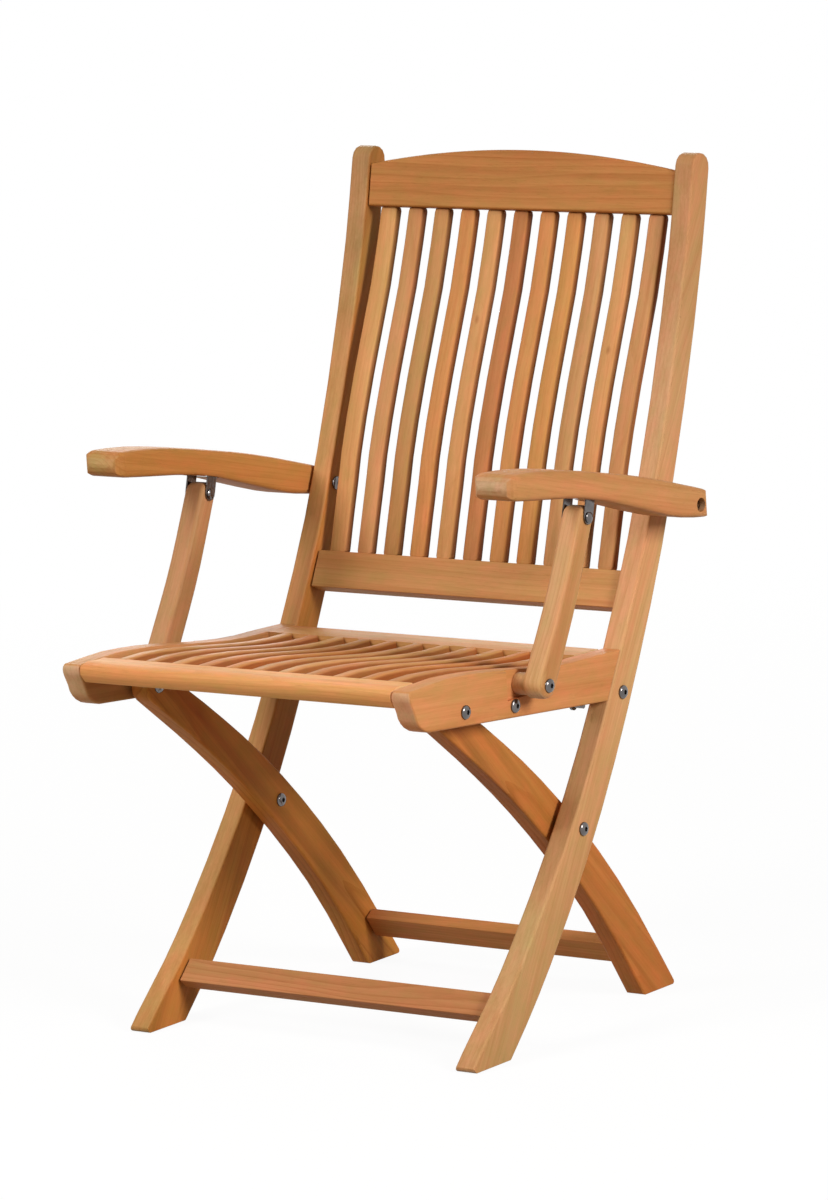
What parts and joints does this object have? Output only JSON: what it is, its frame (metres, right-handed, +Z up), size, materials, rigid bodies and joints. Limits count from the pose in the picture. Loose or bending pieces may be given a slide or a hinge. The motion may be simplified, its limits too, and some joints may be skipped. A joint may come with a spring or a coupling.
{
  "type": "folding armchair",
  "caption": "Folding teak garden armchair: high slatted back, waved slatted seat, arms, crossed legs and steel links that fold flat.",
  "frame": {"origin": "on the floor, under the middle of the chair", "axes": "+X across the chair to its left side as it stands, -Y the way the sitter looks, +Z up"},
  "size_m": [0.614, 0.6344, 0.971],
  "materials": {
    "teak": "sanded, lightly oiled teak",
    "steel": "satin stainless steel"
  },
  "bodies": {
    "back_frame": {"post_left": "teak", "post_right": "teak", "crest_rail": "teak", "lower_back_rail": "teak", "front_stretcher": "teak", "back_slat_01": "teak", "back_slat_02": "teak", "back_slat_03": "teak", "back_slat_04": "teak", "back_slat_05": "teak", "back_slat_06": "teak", "back_slat_07": "teak", "back_slat_08": "teak", "back_slat_09": "teak", "back_slat_10": "teak", "back_slat_11": "teak", "cross_bolt_left": "steel", "cross_bolt_right": "steel", "cross_spacer_left": "steel", "cross_spacer_right": "steel", "strap_bolt_left": "steel", "strap_bolt_right": "steel", "arm_bolt_left": "steel", "arm_bolt_right": "steel"},
    "rear_leg_frame": {"rear_leg_left": "teak", "rear_leg_right": "teak", "rear_stretcher": "teak", "leg_stud_left": "steel", "leg_stud_right": "steel"},
    "seat": {"seat_side_rail_left": "teak", "seat_side_rail_right": "teak", "seat_front_rail": "teak", "seat_rear_rail": "teak", "seat_slat_01": "teak", "seat_slat_02": "teak", "seat_slat_03": "teak", "seat_slat_04": "teak", "seat_slat_05": "teak", "seat_slat_06": "teak", "seat_slat_07": "teak", "seat_slat_08": "teak", "seat_slat_09": "teak", "seat_slat_10": "teak", "seat_slat_11": "teak", "seat_bolt_left": "steel", "seat_bolt_right": "steel", "link_bolt_left": "steel", "link_bolt_right": "steel", "support_bolt_left": "steel", "support_bolt_right": "steel"},
    "strap_left": {"seat_strap_left": "steel"},
    "strap_right": {"seat_strap_right": "steel"},
    "arm_left": {"arm_left": "teak", "arm_bracket_left": "steel"},
    "arm_right": {"arm_right": "teak", "arm_bracket_right": "steel"},
    "support_left": {"arm_support_left": "teak"},
    "support_right": {"arm_support_right": "teak"}
  },
  "joints": [
    {"name": "fold", "type": "hinge", "parent": "back_frame", "child": "strap_left", "pos_m": [0, 0.08547, 0.37519], "axis": [-1, 0, 0], "range_deg": [0, 85]},
    {"name": "strap_right_turn", "type": "hinge", "parent": "back_frame", "child": "strap_right", "pos_m": [0, 0.08547, 0.37519], "axis": [-1, 0, 0], "range_deg": [0, 85]},
    {"name": "seat_turn", "type": "hinge", "parent": "strap_left", "child": "seat", "pos_m": [0, -0.1239, 0.39939], "axis": [1, 0, 0], "range_deg": [0, 153.76]},
    {"name": "rear_leg_turn", "type": "hinge", "parent": "back_frame", "child": "rear_leg_frame", "pos_m": [0, -0.00667, 0.23328], "axis": [-1, 0, 0], "range_deg": [0, 61.53]},
    {"name": "arm_left_turn", "type": "hinge", "parent": "back_frame", "child": "arm_left", "pos_m": [0, 0.1802, 0.58028], "axis": [-1, 0, 0], "range_deg": [0, 85.92]},
    {"name": "arm_right_turn", "type": "hinge", "parent": "back_frame", "child": "arm_right", "pos_m": [0, 0.1802, 0.58028], "axis": [-1, 0, 0], "range_deg": [0, 85.92]},
    {"name": "support_left_turn", "type": "hinge", "parent": "seat", "child": "support_left", "pos_m": [0, -0.10743, 0.42185], "axis": [-1, 0, 0], "range_deg": [0, 73.23]},
    {"name": "support_right_turn", "type": "hinge", "parent": "seat", "child": "support_right", "pos_m": [0, -0.10743, 0.42185], "axis": [-1, 0, 0], "range_deg": [0, 73.23]}
  ],
  "couplings": [
    {"joint": "strap_right_turn", "follows": "fold", "ratio": 1},
    {"joint": "seat_turn", "follows": "fold", "ratio": 1.8087},
    {"joint": "rear_leg_turn", "follows": "fold", "ratio": 0.7237},
    {"joint": "arm_left_turn", "follows": "fold", "ratio": 1.0106},
    {"joint": "arm_right_turn", "follows": "fold", "ratio": 1.0106},
    {"joint": "support_left_turn", "follows": "fold", "ratio": 0.8613},
    {"joint": "support_right_turn", "follows": "fold", "ratio": 0.8613}
  ]
}
